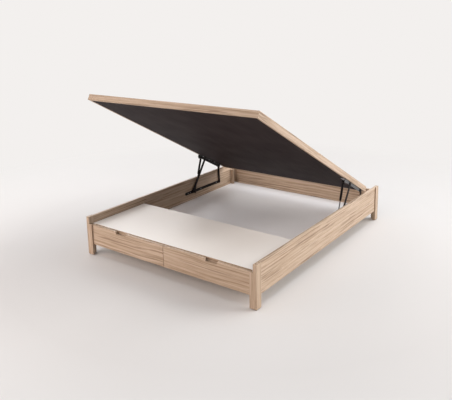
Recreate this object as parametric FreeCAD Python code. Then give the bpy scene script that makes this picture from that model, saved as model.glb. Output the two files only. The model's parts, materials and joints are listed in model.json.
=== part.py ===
import FreeCAD, Part
import math
import os

# Lift-up storage bed base, shown with its lid held open.
# Millimetres. X is the width, Y the length with the foot end at -Y, Z is up.
# The origin is on the floor, in the middle of the base.

# Lid that carries the mattress
lid_width = 1510.0
lid_length = 1906.0
lid_thickness = 45.0
rim_thickness = 18.0
underside_thickness = 4.0
underside_recess = 1.0
lid_board_fit = 0.3
top_board_thickness = 12.0
top_cover_thickness = 3.0
side_bar_width = 47.0
cross_bar_width = 60.0
cross_bar_count = 3

# Frame of the base
base_height = 307.5
ground_clearance = 86.0
panel_thickness = 18.0
rear_panel_top = 272.0
leg_proud_side = 9.0
leg_proud_end = 10.0
leg_depth = 55.0
leg_strip_width = 27.0
leg_strip_thickness = 18.0
glide_height = 4.0
glide_inset = 4.0
board_edge = 1.0
post_width = 30.0
post_depth = 20.0
post_setback = 52.0

# Places of the closed lid in the base
lid_seat = 250.0
lid_side_gap = 3.0
lid_front_setback = 16.0
lid_rear_gap = 20.0
seat_gap = 0.5

# Storage floor
floor_rise = 18.0
floor_thickness = 8.0
floor_fit = 0.3
cleat_width = 22.0
bearer_width = 60.0
bearer_height = 40.0
bearer_foot_radius = 18.0
bearer_foot_pad_radius = 26.0
bearer_foot_pad_height = 6.0
bearer_foot_count = 2

# Drawer bay
bay_depth = 557.0
partition_thickness = 16.0
divider_thickness = 18.0
bay_board_thickness = 16.0
bay_board_drop = 2.5
bay_front_gap = 10.0
bay_board_side_gap = 1.0
bay_rail_thickness = 16.0
bay_rail_lip = 3.0
bay_rail_clearance = 1.5
runner_space = 13.0
runner_height = 35.0
runner_sheet = 1.5
runner_play = 0.4
rail_tip_gap = 3.0
slide_tip_gap = 2.0
runner_centre = 44.0
runner_setback = 3.0
runner_end_gap = 13.5

# Drawers
drawer_front_thickness = 18.0
drawer_front_rise = 2.0
drawer_lid_gap = 3.0
drawer_end_gap = 3.0
drawer_split_gap = 3.0
drawer_back_gap = 17.0
drawer_wall = 12.0
drawer_box_rise = 11.0
drawer_headroom = 16.5
drawer_bottom_thickness = 4.0
drawer_bottom_rise = 6.0
groove_depth = 6.0
groove_play = 0.2
notch_centre = 421.0
notch_width = 96.0
notch_flare = 7.0
notch_depth = 22.5
notch_corner = 7.0

# Lift linkage: places of the pivots with the lid closed.
# Each is a distance forward of the lid's rear edge and a drop below the lid's underside.
front_arm_base = (671.0, 70.0)
rear_arm_base = (257.0, 72.0)
front_arm_lid = (343.0, 16.5)
rear_arm_lid = (103.0, 14.0)
gas_lid = (438.0, 21.0)
rear_arm_opening = 74.0

# Lift linkage: sheet metal and pins
rail_thickness = 4.0
rail_height = 27.0
rail_overhang_front = 95.0
rail_ear_radius = 17.0
arm_thickness = 4.0
front_arm_radius_base = 14.0
front_arm_radius_lid = 12.5
rear_arm_radius = 12.5
bracket_thickness = 3.0
bracket_flange = 44.0
bracket_drop = 26.0
bracket_ear_radius = 14.0
bracket_overhang = 22.0
plate_gap = 1.0
pin_radius = 5.0
pin_play = 0.05
head_radius = 8.0
head_height = 2.5
outer_head_height = 2.0
head_gap = 0.5
open_pivot_gap = 0.3
collar_radius = 7.0
screw_radius = 2.0
screw_play = 0.1
screw_length = 12.0
screw_head_radius = 4.5
screw_head_height = 2.5
rail_screw_places = (25.0, 60.0, 215.0, 460.0)
bracket_screw_count = 4
bracket_screw_front = 40.0
bracket_screw_rear = 39.0
bracket_screw_inset = 30.0

# Gas springs
gas_offset = 17.0
gas_tube_radius = 9.5
gas_tube_wall = 1.0
gas_rod_radius = 4.0
gas_eye_radius = 9.0
gas_eye_thickness = 12.0
gas_gland = 14.0
gas_tube_head = 16.0
gas_spare_travel = 16.0
gas_engagement = 10.0
piston_play = 0.3
piston_length = 8.0

# Sides and ends, as signs along X and Y
SIDES = {"left": -1.0, "right": 1.0}
ENDS = {"front": -1.0, "rear": 1.0}

# Places worked out from the sizes above
half_inner = lid_width / 2 + lid_side_gap
half_panel = half_inner + panel_thickness
half_width = half_panel + leg_proud_side
base_length = lid_front_setback + lid_length + lid_rear_gap + panel_thickness + leg_proud_end
foot_y = -base_length / 2
head_y = base_length / 2
drawer_face_y = foot_y + leg_proud_end
drawer_back_y = drawer_face_y + drawer_front_thickness
rear_inner_y = head_y - leg_proud_end - panel_thickness
lid_rear_y = rear_inner_y - lid_rear_gap
lid_front_y = lid_rear_y - lid_length
floor_top = ground_clearance + floor_rise
floor_under = floor_top - floor_thickness
partition_y = drawer_back_y + bay_depth
storage_front_y = partition_y + partition_thickness
bay_board_top = lid_seat - bay_board_drop
bay_board_under = bay_board_top - bay_board_thickness
bay_front_y = drawer_back_y + bay_front_gap
bay_board_front_y = bay_front_y + bay_rail_lip
strip_inner = half_inner - leg_strip_width
drawer_outer = strip_inner - drawer_end_gap
bay_side_inner = drawer_outer
box_outer = bay_side_inner - runner_space
box_inner = divider_thickness / 2 + runner_space
box_end_y = partition_y - drawer_back_gap
box_top = bay_board_under - drawer_headroom
bay_rail_under = box_top + bay_rail_clearance
rail_flange = runner_space - 2 * runner_sheet - rail_tip_gap
slide_flange = runner_space - 2 * runner_sheet - slide_tip_gap
rail_inner = half_inner - rail_thickness
arm_outer = rail_inner - plate_gap
arm_inner = arm_outer - arm_thickness
bracket_outer = arm_inner - plate_gap
bracket_inner = bracket_outer - bracket_thickness
gas_centre = bracket_inner - gas_offset
eye_inner = gas_centre - gas_eye_thickness / 2
eye_outer = gas_centre + gas_eye_thickness / 2


def lid_place(pivot):
    """Y and Z of a linkage pivot with the lid closed."""
    forward, drop = pivot
    return (lid_rear_y - forward, lid_seat - drop)


def turned(point, centre, degrees):
    """A point of the YZ plane turned about a centre, from Y towards Z."""
    angle = math.radians(degrees)
    y = point[0] - centre[0]
    z = point[1] - centre[1]
    return (
        centre[0] + y * math.cos(angle) - z * math.sin(angle),
        centre[1] + y * math.sin(angle) + z * math.cos(angle),
    )


def direction(start, end):
    """Angle in degrees of the line from start to end in the YZ plane."""
    return math.degrees(math.atan2(end[1] - start[1], end[0] - start[0]))


def meeting_point(centre_a, radius_a, centre_b, radius_b):
    """Where two circles of the YZ plane meet, on the left of the line from a to b."""
    span = math.dist(centre_a, centre_b)
    along = (radius_a ** 2 - radius_b ** 2 + span ** 2) / (2 * span)
    aside = math.sqrt(radius_a ** 2 - along ** 2)
    y = (centre_b[0] - centre_a[0]) / span
    z = (centre_b[1] - centre_a[1]) / span
    return (centre_a[0] + along * y - aside * z, centre_a[1] + along * z + aside * y)


# Pivots of the linkage, first with the lid closed and then with it open
base_front = lid_place(front_arm_base)
base_rear = lid_place(rear_arm_base)
closed_front = lid_place(front_arm_lid)
closed_rear = lid_place(rear_arm_lid)
closed_gas = lid_place(gas_lid)
open_rear = turned(closed_rear, base_rear, rear_arm_opening)
open_front = meeting_point(
    base_front, math.dist(base_front, closed_front), open_rear, math.dist(closed_front, closed_rear)
)
lid_turn = direction(open_front, open_rear) - direction(closed_front, closed_rear)
open_gas = tuple(
    turned(closed_gas, closed_rear, lid_turn)[i] + open_rear[i] - closed_rear[i] for i in range(2)
)
gas_open_length = math.dist(base_front, open_gas)
gas_closed_length = math.dist(base_front, closed_gas)
gas_stroke = gas_open_length - gas_closed_length
gas_tube_length = gas_tube_head + gas_stroke + gas_spare_travel + gas_engagement + piston_length + gas_gland


def box(x, y, z):
    """Box between pairs of X, Y and Z values given in any order."""
    low = FreeCAD.Vector(min(x), min(y), min(z))
    return Part.makeBox(abs(x[1] - x[0]), abs(y[1] - y[0]), abs(z[1] - z[0]), low)


def board(x, y, z):
    """Board with eased edges."""
    block = box(x, y, z)
    return block.makeFillet(board_edge, block.Edges)


def across(side, inner, outer):
    """X values of a piece on one side of the bed, from distances to the middle."""
    return (side * inner, side * outer)


def cylinder_x(x, centre, radius):
    """Cylinder along X about a centre of the YZ plane."""
    low = FreeCAD.Vector(min(x), centre[0], centre[1])
    return Part.makeCylinder(radius, abs(x[1] - x[0]), low, FreeCAD.Vector(1, 0, 0))


def cylinder_along(start, degrees, x, begin, end, radius):
    """Cylinder in the YZ direction of an angle, between two distances from a start."""
    aim = FreeCAD.Vector(0, math.cos(math.radians(degrees)), math.sin(math.radians(degrees)))
    foot = FreeCAD.Vector(x, start[0], start[1]) + aim * begin
    return Part.makeCylinder(radius, end - begin, foot, aim)


def link_bar(x, start, end, start_radius, end_radius):
    """Flat bar with round ends about two centres of the YZ plane."""
    low = min(x)
    span = math.dist(start, end)
    lean = math.acos((start_radius - end_radius) / span)
    heading = math.radians(direction(start, end))

    def rim(centre, radius, angle):
        return FreeCAD.Vector(low, centre[0] + radius * math.cos(angle), centre[1] + radius * math.sin(angle))

    start_left = rim(start, start_radius, heading + lean)
    start_back = rim(start, start_radius, heading + math.pi)
    start_right = rim(start, start_radius, heading - lean)
    end_left = rim(end, end_radius, heading + lean)
    end_tip = rim(end, end_radius, heading)
    end_right = rim(end, end_radius, heading - lean)
    outline = Part.Wire([
        Part.LineSegment(start_left, end_left).toShape(),
        Part.Arc(end_left, end_tip, end_right).toShape(),
        Part.LineSegment(end_right, start_right).toShape(),
        Part.Arc(start_right, start_back, start_left).toShape(),
    ])
    return Part.Face(outline).extrude(FreeCAD.Vector(abs(x[1] - x[0]), 0, 0))


def joined(first, *others):
    """One solid from touching or overlapping pieces."""
    return first.fuse(list(others)).removeSplitter()


def opened_lid(shape):
    """A piece of the lid moved from the closed place to the open one."""
    moved = shape.copy()
    moved.rotate(FreeCAD.Vector(0, *closed_rear), FreeCAD.Vector(1, 0, 0), lid_turn)
    moved.translate(FreeCAD.Vector(0, open_rear[0] - closed_rear[0], open_rear[1] - closed_rear[1]))
    return moved


def save(name, *solids):
    """Write one node, a single solid or a group of like solids."""
    shape = solids[0] if len(solids) == 1 else Part.makeCompound(list(solids))
    shape.exportStep("parts/" + name + ".step")


# Places of the screws in the sheet metal
def rail_screw_centres():
    """Y and Z of the screws that hold a base rail to its side panel."""
    front = base_front[0] - rail_overhang_front
    return [(front + place, base_front[1]) for place in rail_screw_places]


def bracket_screw_centres():
    """Y of the screws that hold a lid bracket, with the lid closed."""
    front = closed_gas[0] - bracket_overhang + bracket_screw_front
    rear = closed_rear[0] + bracket_overhang - bracket_screw_rear
    spacing = (rear - front) / (bracket_screw_count - 1)
    return [front + number * spacing for number in range(bracket_screw_count)]


def pin_hole(x, centre):
    """Cutter for a hole that a pivot pin runs in."""
    return cylinder_x(x, centre, pin_radius + pin_play)


# Frame of the base
def build_side_panels():
    for name, side in SIDES.items():
        panel = board(
            across(side, half_inner, half_panel),
            (foot_y + leg_depth, head_y - leg_depth),
            (ground_clearance, base_height),
        )
        depth = across(side, half_inner - screw_play, half_inner + screw_length + screw_play)
        pilots = [cylinder_x(depth, centre, screw_radius + screw_play) for centre in rail_screw_centres()]
        save("side_panel_" + name, panel.cut(pilots))


def build_rear_panel():
    panel = board(
        (-strip_inner, strip_inner),
        (rear_inner_y, rear_inner_y + panel_thickness),
        (ground_clearance, rear_panel_top),
    )
    save("rear_panel", panel)


def build_legs():
    strip_tops = {"front": lid_seat - seat_gap, "rear": rear_panel_top}
    for end_name, end in ENDS.items():
        outside = end * head_y
        for side_name, side in SIDES.items():
            leaf_y = (outside, outside - end * leg_depth)
            leaf = board(across(side, half_inner, half_width), leaf_y, (glide_height, base_height))
            strip = board(
                across(side, strip_inner, half_inner),
                (outside, outside - end * leg_strip_thickness),
                (glide_height, strip_tops[end_name]),
            )
            save("leg_leaf_" + end_name + "_" + side_name, leaf)
            save("leg_strip_" + end_name + "_" + side_name, strip)


def build_corner_posts():
    """Posts in the rear corners of the storage, which the shut lid rests on."""
    rear = rear_inner_y - post_setback
    posts = [
        board(
            across(side, half_inner - post_width, half_inner),
            (rear - post_depth, rear),
            (floor_top, lid_seat - seat_gap),
        )
        for side in SIDES.values()
    ]
    save("rear_corner_posts", *posts)


def build_storage_floor():
    rear_cleat_y = rear_inner_y - cleat_width
    for name, side in SIDES.items():
        panel = box(
            across(side, floor_fit, half_inner - floor_fit),
            (storage_front_y + floor_fit, rear_inner_y - floor_fit),
            (floor_under, floor_top),
        )
        save("floor_panel_" + name, panel)
    cleats = [
        box(
            across(side, half_inner - cleat_width, half_inner),
            (storage_front_y, rear_inner_y),
            (ground_clearance, floor_under),
        )
        for side in SIDES.values()
    ]
    cleats.append(box(
        (cleat_width - half_inner, half_inner - cleat_width),
        (rear_cleat_y, rear_inner_y),
        (ground_clearance, floor_under),
    ))
    bearer_under = floor_under - bearer_height
    bearer = box(
        (-bearer_width / 2, bearer_width / 2),
        (storage_front_y, rear_cleat_y),
        (bearer_under, floor_under),
    )
    save("floor_bearers", *cleats, bearer)


def build_feet():
    """Glides under the four legs and feet under the bearer."""
    feet = [
        box(
            across(side, half_inner + glide_inset, half_width - glide_inset),
            (end * (head_y - glide_inset), end * (head_y - leg_depth + glide_inset)),
            (0, glide_height),
        )
        for end in ENDS.values() for side in SIDES.values()
    ]
    bearer_end_y = rear_inner_y - cleat_width
    bearer_under = floor_under - bearer_height
    for number in range(bearer_foot_count):
        share = (number + 1) / (bearer_foot_count + 1)
        place = FreeCAD.Vector(0, storage_front_y + share * (bearer_end_y - storage_front_y), 0)
        pad = Part.makeCylinder(bearer_foot_pad_radius, bearer_foot_pad_height, place)
        stem = Part.makeCylinder(bearer_foot_radius, bearer_under, place)
        feet.append(joined(pad, stem))
    save("floor_feet", *feet)


# Drawer bay under the foot end
def build_drawer_bay():
    top = box(
        (bay_board_side_gap - half_inner, half_inner - bay_board_side_gap),
        (bay_board_front_y, storage_front_y),
        (bay_board_under, bay_board_top),
    )
    save("drawer_bay_top", top)
    rail = box(
        (-bay_side_inner, bay_side_inner),
        (bay_front_y, bay_front_y + bay_rail_thickness),
        (bay_rail_under, bay_board_top),
    ).cut(top)
    save("drawer_bay_rail", rail)
    upright = (ground_clearance, bay_board_under)
    divider_x = (-divider_thickness / 2, divider_thickness / 2)
    save("drawer_bay_divider", box(divider_x, (bay_front_y, partition_y), upright).cut(rail))
    save("drawer_bay_partition", box((-half_inner, half_inner), (partition_y, storage_front_y), upright))
    for name, side in SIDES.items():
        wall = box(across(side, bay_side_inner, half_inner), (bay_front_y, partition_y), upright)
        save("drawer_bay_side_" + name, wall)


def channel(web_x, inward, depth, y, height):
    """C-shaped sheet channel on a wall, open in the inward direction along X."""
    middle = ground_clearance + runner_centre
    top = middle + height / 2
    under = middle - height / 2
    web = box((web_x, web_x + inward * runner_sheet), y, (under, top))
    lips = [
        box((web_x, web_x + inward * (runner_sheet + depth)), y, span)
        for span in ((under, under + runner_sheet), (top - runner_sheet, top))
    ]
    return joined(web, *lips)


def build_runners():
    y = (bay_front_y + runner_setback, box_end_y - runner_end_gap)
    slide_height = runner_height - 2 * (runner_sheet + runner_play)
    rails = []
    for name, side in SIDES.items():
        walls = ((divider_thickness / 2, box_inner, 1.0), (bay_side_inner, box_outer, -1.0))
        slides = []
        for wall, box_face, inward in walls:
            rails.append(channel(side * wall, side * inward, rail_flange, y, runner_height))
            slides.append(channel(side * box_face, -side * inward, slide_flange, y, slide_height))
        save("drawer_" + name + "_slides", *slides)
    save("runner_rails", *rails)


# Drawers
def finger_notch(side):
    """Cutter for the finger notch in a drawer front's upper edge."""
    top = lid_seat - drawer_lid_gap
    middle = side * notch_centre
    half = notch_width / 2
    lower = top - notch_depth
    corners = [
        FreeCAD.Vector(middle - half - notch_flare, drawer_face_y, top),
        FreeCAD.Vector(middle - half, drawer_face_y, lower),
        FreeCAD.Vector(middle + half, drawer_face_y, lower),
        FreeCAD.Vector(middle + half + notch_flare, drawer_face_y, top),
    ]
    outline = Part.makePolygon(corners + corners[:1])
    cutter = Part.Face(outline).extrude(FreeCAD.Vector(0, drawer_front_thickness, 0))
    lower_edges = [
        edge for edge in cutter.Edges
        if all(abs(vertex.Z - lower) < notch_corner and abs(vertex.X - edge.Vertexes[0].X) < notch_corner
               for vertex in edge.Vertexes)
    ]
    return cutter.makeFillet(notch_corner, lower_edges)


def build_drawers():
    low = ground_clearance + drawer_box_rise
    bottom_low = low + drawer_bottom_rise
    bottom_high = bottom_low + drawer_bottom_thickness
    box_y = (drawer_back_y, box_end_y)
    for name, side in SIDES.items():
        front = board(
            across(side, drawer_split_gap / 2, drawer_outer),
            (drawer_face_y, drawer_back_y),
            (ground_clearance + drawer_front_rise, lid_seat - drawer_lid_gap),
        )
        save("drawer_" + name + "_front", front.cut(finger_notch(side)))
        bottom_x = (box_inner + drawer_wall - groove_depth, box_outer - drawer_wall + groove_depth)
        groove = box(
            across(side, bottom_x[0] - groove_play, bottom_x[1] + groove_play),
            box_y,
            (bottom_low - groove_play, bottom_high + groove_play),
        )
        walls = {"inner": (box_inner, box_inner + drawer_wall), "outer": (box_outer - drawer_wall, box_outer)}
        for wall_name, wall in walls.items():
            wall_board = box(across(side, *wall), box_y, (low, box_top))
            save("drawer_" + name + "_" + wall_name + "_side", wall_board.cut(groove))
        back = box(
            across(side, box_inner + drawer_wall, box_outer - drawer_wall),
            (box_y[1] - drawer_wall, box_y[1]),
            (bottom_high + groove_play, box_top),
        )
        save("drawer_" + name + "_back", back)
        save("drawer_" + name + "_bottom", box(across(side, *bottom_x), box_y, (bottom_low, bottom_high)))


# Lid
def rim_board(outline):
    """Mitred board of the lid's rim from its outline seen from above."""
    points = [FreeCAD.Vector(x, y, lid_seat) for x, y in outline]
    block = Part.Face(Part.makePolygon(points + points[:1])).extrude(FreeCAD.Vector(0, 0, lid_thickness))
    long_edges = [edge for edge in block.Edges if edge.Length > lid_width / 2]
    return block.makeFillet(board_edge, long_edges)


def build_lid_rim():
    outer_x = lid_width / 2
    inner_x = outer_x - rim_thickness
    inner_front = lid_front_y + rim_thickness
    inner_rear = lid_rear_y - rim_thickness
    for name, outer_y, inner_y in (("front", lid_front_y, inner_front), ("rear", lid_rear_y, inner_rear)):
        outline = [(-outer_x, outer_y), (outer_x, outer_y), (inner_x, inner_y), (-inner_x, inner_y)]
        save("lid_rim_" + name, opened_lid(rim_board(outline)))
    for name, side in SIDES.items():
        outline = [
            (side * outer_x, lid_front_y),
            (side * outer_x, lid_rear_y),
            (side * inner_x, inner_rear),
            (side * inner_x, inner_front),
        ]
        save("lid_rim_" + name, opened_lid(rim_board(outline)))


def build_lid_boards():
    inner_x = lid_width / 2 - rim_thickness - lid_board_fit
    y = (lid_front_y + rim_thickness + lid_board_fit, lid_rear_y - rim_thickness - lid_board_fit)
    under = lid_seat + underside_recess
    bars_low = under + underside_thickness
    cover_top = lid_seat + lid_thickness
    board_top = cover_top - top_cover_thickness
    bars_high = board_top - top_board_thickness
    screw_x = bracket_outer - bracket_screw_inset
    pilots = [
        Part.makeCylinder(
            screw_radius + screw_play,
            screw_length + screw_play,
            FreeCAD.Vector(side * screw_x, place, lid_seat),
        )
        for side in SIDES.values() for place in bracket_screw_centres()
    ]
    panel = box((-inner_x, inner_x), y, (under, bars_low)).cut(pilots)
    save("lid_underside_panel", opened_lid(panel))
    save("lid_top_board", opened_lid(box((-inner_x, inner_x), y, (bars_high, board_top))))
    save("lid_top_cover", opened_lid(box((-inner_x, inner_x), y, (board_top, cover_top))))
    bar_inner = inner_x - side_bar_width
    bars = [
        box(across(side, bar_inner, inner_x), y, (bars_low, bars_high)).cut(pilots)
        for side in SIDES.values()
    ]
    for number in range(cross_bar_count):
        middle = y[0] + (number + 1) / (cross_bar_count + 1) * (y[1] - y[0])
        bars.append(box(
            (-bar_inner, bar_inner),
            (middle - cross_bar_width / 2, middle + cross_bar_width / 2),
            (bars_low, bars_high),
        ))
    save("lid_inner_bars", *[opened_lid(bar) for bar in bars])


# Lift linkage
def build_base_rails():
    screws = []
    pins = []
    front_end = (base_front[0] - rail_overhang_front, base_front[1])
    for name, side in SIDES.items():
        sheet = across(side, rail_inner, half_inner)
        bar = link_bar(sheet, front_end, base_rear, rail_height / 2, rail_height / 2)
        ears = [cylinder_x(sheet, pivot, rail_ear_radius) for pivot in (base_front, base_rear)]
        holes = [pin_hole(sheet, pivot) for pivot in (base_front, base_rear)]
        holes += [cylinder_x(sheet, centre, screw_radius + screw_play) for centre in rail_screw_centres()]
        save("lift_rail_" + name, joined(bar, *ears).cut(holes))
        head_x = across(side, rail_inner - screw_head_height, rail_inner)
        for centre in rail_screw_centres():
            head = cylinder_x(head_x, centre, screw_head_radius)
            shank = cylinder_x(across(side, rail_inner, half_inner + screw_length), centre, screw_radius)
            screws.append(joined(head, shank))
        short_end = arm_inner - head_gap
        short = cylinder_x(across(side, short_end, half_inner), base_rear, pin_radius)
        short_head = cylinder_x(across(side, short_end - head_height, short_end), base_rear, head_radius)
        pins.append(joined(short, short_head))
        long_end = eye_inner - head_gap
        long = cylinder_x(across(side, long_end, half_inner), base_front, pin_radius)
        long_head = cylinder_x(across(side, long_end - head_height, long_end), base_front, head_radius)
        collar_x = across(side, eye_outer + head_gap, arm_inner - head_gap)
        collar = cylinder_x(collar_x, base_front, collar_radius)
        pins.append(joined(long, long_head, collar))
    save("lift_rail_screws", *screws)
    save("lift_rail_pins", *pins)


def build_arms():
    rivets = []
    for name, side in SIDES.items():
        sheet = across(side, arm_inner, arm_outer)
        front = link_bar(sheet, base_front, open_front, front_arm_radius_base, front_arm_radius_lid)
        front_holes = [pin_hole(sheet, pivot) for pivot in (base_front, open_front)]
        save("front_arm_" + name, front.cut(front_holes))
        shank = cylinder_x(across(side, bracket_outer + open_pivot_gap, arm_outer), open_front, pin_radius)
        head = cylinder_x(across(side, arm_outer, arm_outer + outer_head_height), open_front, head_radius)
        rivets.append(joined(shank, head))
        rear = link_bar(sheet, base_rear, open_rear, rear_arm_radius, rear_arm_radius)
        rear_holes = [pin_hole(sheet, pivot) for pivot in (base_rear, open_rear)]
        save("rear_arm_" + name, rear.cut(rear_holes))
    save("front_arm_rivets", *rivets)


def build_lid_brackets():
    screws = []
    pins = []
    y = (closed_gas[0] - bracket_overhang, closed_rear[0] + bracket_overhang)
    flange_under = lid_seat - bracket_thickness
    screw_x = bracket_outer - bracket_screw_inset
    for name, side in SIDES.items():
        sheet = across(side, bracket_inner, bracket_outer)
        web = box(sheet, y, (lid_seat - bracket_drop, lid_seat))
        flange_x = across(side, bracket_outer - bracket_flange, bracket_outer)
        flange = box(flange_x, y, (flange_under, lid_seat))
        pivots = (closed_gas, closed_front, closed_rear)
        ears = [cylinder_x(sheet, pivot, bracket_ear_radius) for pivot in pivots]
        cutters = [pin_hole(sheet, closed_rear)]
        for place in bracket_screw_centres():
            foot = FreeCAD.Vector(side * screw_x, place, flange_under)
            cutters.append(Part.makeCylinder(screw_radius + screw_play, bracket_thickness, foot))
            shank = Part.makeCylinder(screw_radius, bracket_thickness + screw_length, foot)
            under_head = foot - FreeCAD.Vector(0, 0, screw_head_height)
            head = Part.makeCylinder(screw_head_radius, screw_head_height, under_head)
            screws.append(opened_lid(joined(head, shank)))
        save("lid_bracket_" + name, opened_lid(joined(web, flange, *ears).cut(cutters)))
        pin_end = arm_outer + head_gap
        inner_head = across(side, bracket_inner - head_height, bracket_inner)
        pin = joined(
            cylinder_x(across(side, bracket_inner, pin_end), closed_rear, pin_radius),
            cylinder_x(inner_head, closed_rear, head_radius),
            cylinder_x(across(side, pin_end, pin_end + outer_head_height), closed_rear, head_radius),
        )
        pins.append(opened_lid(pin))
        pins.append(opened_lid(cylinder_x(inner_head, closed_front, head_radius)))
    save("lid_bracket_screws", *screws)
    save("lid_bracket_pins", *pins)


def build_gas_springs():
    aim = direction(base_front, open_gas)
    bore_radius = gas_tube_radius - gas_tube_wall
    tube_start = gas_open_length - gas_tube_length
    bore_start = tube_start + gas_gland
    piston_start = bore_start + gas_engagement
    rod_end = piston_start + piston_length
    bore_end = gas_open_length - gas_tube_head
    for name, side in SIDES.items():
        middle = side * gas_centre
        eye_x = across(side, eye_inner, eye_outer)
        rod = joined(
            cylinder_x(eye_x, base_front, gas_eye_radius),
            cylinder_along(base_front, aim, middle, 0, rod_end, gas_rod_radius),
            cylinder_along(base_front, aim, middle, piston_start, rod_end, bore_radius - piston_play),
        )
        save("gas_rod_" + name, rod.cut(pin_hole(eye_x, base_front)))
        tube = cylinder_along(base_front, aim, middle, tube_start, gas_open_length, gas_tube_radius)
        eye = cylinder_x(eye_x, open_gas, gas_eye_radius)
        stub = cylinder_x(across(side, eye_inner, bracket_inner - open_pivot_gap), open_gas, pin_radius)
        bore = cylinder_along(base_front, aim, middle, bore_start, bore_end, bore_radius)
        gland = cylinder_along(base_front, aim, middle, tube_start, bore_start, gas_rod_radius + pin_play)
        save("gas_cylinder_" + name, joined(tube, eye, stub).cut([bore, gland]))


def print_linkage():
    """Numbers of the motion from the open lid to the closed one."""
    print("pivots, open: base front", base_front, "base rear", base_rear)
    print("lid front", open_front, "lid rear", open_rear, "gas", open_gas)
    print("rear arm turn", -rear_arm_opening)
    print("front arm turn", direction(base_front, closed_front) - direction(base_front, open_front))
    print("lid turn against rear arm", rear_arm_opening - lid_turn)
    print("gas rod turn", direction(base_front, closed_gas) - direction(base_front, open_gas))
    print("gas rod angle", direction(base_front, open_gas), "stroke", gas_stroke)


def main():
    os.makedirs("parts", exist_ok=True)
    build_side_panels()
    build_rear_panel()
    build_legs()
    build_corner_posts()
    build_storage_floor()
    build_feet()
    build_drawer_bay()
    build_runners()
    build_drawers()
    build_lid_rim()
    build_lid_boards()
    build_base_rails()
    build_arms()
    build_lid_brackets()
    build_gas_springs()
    print_linkage()


main()
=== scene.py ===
import json
import math

import bmesh
import bpy
from bpy.props import FloatProperty, FloatVectorProperty, IntProperty, PointerProperty
from bpy.types import NodeSocket, Operator, Panel, PropertyGroup
from mathutils import Matrix, Vector


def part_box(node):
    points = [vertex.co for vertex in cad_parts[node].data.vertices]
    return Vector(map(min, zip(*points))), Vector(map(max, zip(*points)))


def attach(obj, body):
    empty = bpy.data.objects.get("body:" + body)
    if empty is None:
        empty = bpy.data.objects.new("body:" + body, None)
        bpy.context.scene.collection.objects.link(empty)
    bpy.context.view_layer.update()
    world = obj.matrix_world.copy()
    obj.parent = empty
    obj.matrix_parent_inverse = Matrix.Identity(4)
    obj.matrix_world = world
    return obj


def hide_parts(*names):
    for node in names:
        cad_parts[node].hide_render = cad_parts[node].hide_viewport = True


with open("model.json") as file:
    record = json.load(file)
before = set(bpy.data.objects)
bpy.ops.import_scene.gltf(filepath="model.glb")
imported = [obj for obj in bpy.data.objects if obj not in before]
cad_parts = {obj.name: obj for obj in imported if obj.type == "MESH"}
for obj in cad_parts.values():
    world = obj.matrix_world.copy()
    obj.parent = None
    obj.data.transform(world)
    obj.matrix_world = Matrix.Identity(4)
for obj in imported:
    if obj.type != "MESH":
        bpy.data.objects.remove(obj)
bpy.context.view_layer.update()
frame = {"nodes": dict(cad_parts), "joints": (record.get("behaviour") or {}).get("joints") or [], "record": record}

bl_info = {
    "name": "Lift-up storage bed base",
    "version": (1, 0, 0),
    "blender": (4, 5, 0),
    "location": "3D View > Sidebar > Bed",
    "description": "Finishes and fine pieces of a bed base with a lifting lid and two drawers",
    "category": "Object",
}

NODES = frame["nodes"]
RECORD = frame["record"]
JOINTS = {joint["name"]: joint for joint in frame["joints"]}
MOUNTS = {mount["name"]: mount for mount in RECORD["mounts"]}
SLOTS = {part["node"]: part["material_slot"] for part in RECORD["subparts"]}
SIDES = {"left": -1.0, "right": 1.0}
ACROSS = Vector((1.0, 0.0, 0.0))
MILLIMETRE = 0.001
MERGE_DISTANCE = 1e-6
CUT_MERGE_DISTANCE = 2e-5
QUARTER_STEPS = 6
CROWN_FACING = -0.05


# Frames of the moving pieces


def lid_matrix():
    """Place of the raised lid: its origin in the middle of the top face, Z out of that face."""
    mount = MOUNTS["mattress_rest"]
    out = Vector(mount["axis"]).normalized()
    along = out.cross(ACROSS)
    turn = Matrix((ACROSS, along, out)).transposed()
    return Matrix.Translation(Vector(mount["pos_m"])) @ turn.to_4x4()


LID = lid_matrix()


def solids_of(node, place=Matrix.Identity(4)):
    """Lowest and highest corner of each solid in a CAD node, in the frame of a place."""
    copy = bmesh.new()
    copy.from_mesh(NODES[node].data)
    copy.transform(place.inverted())
    bmesh.ops.remove_doubles(copy, verts=copy.verts, dist=MERGE_DISTANCE)
    waiting = set(copy.verts)
    boxes = []
    while waiting:
        reached = [waiting.pop()]
        points = []
        while reached:
            vertex = reached.pop()
            points.append(vertex.co.copy())
            for edge in vertex.link_edges:
                other = edge.other_vert(vertex)
                if other in waiting:
                    waiting.remove(other)
                    reached.append(other)
        low = Vector(min(point[i] for point in points) for i in range(3))
        high = Vector(max(point[i] for point in points) for i in range(3))
        boxes.append((low, high))
    copy.free()
    return sorted(boxes, key=lambda box: tuple(box[0]))


# Sizes and colours that a user would change


def colour(name, description, red, green, blue):
    """Colour property given as the eye sees it, from 0 to 255."""
    linear = [(value / 255 + 0.055) ** 2.4 / 1.055 ** 2.4 for value in (red, green, blue)]
    return FloatVectorProperty(
        name=name, description=description, default=linear, subtype="COLOR", min=0.0, max=1.0
    )


def length(name, description, millimetres):
    """Length property given in millimetres."""
    return FloatProperty(
        name=name, description=description, default=millimetres * MILLIMETRE, unit="LENGTH", precision=5
    )


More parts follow.
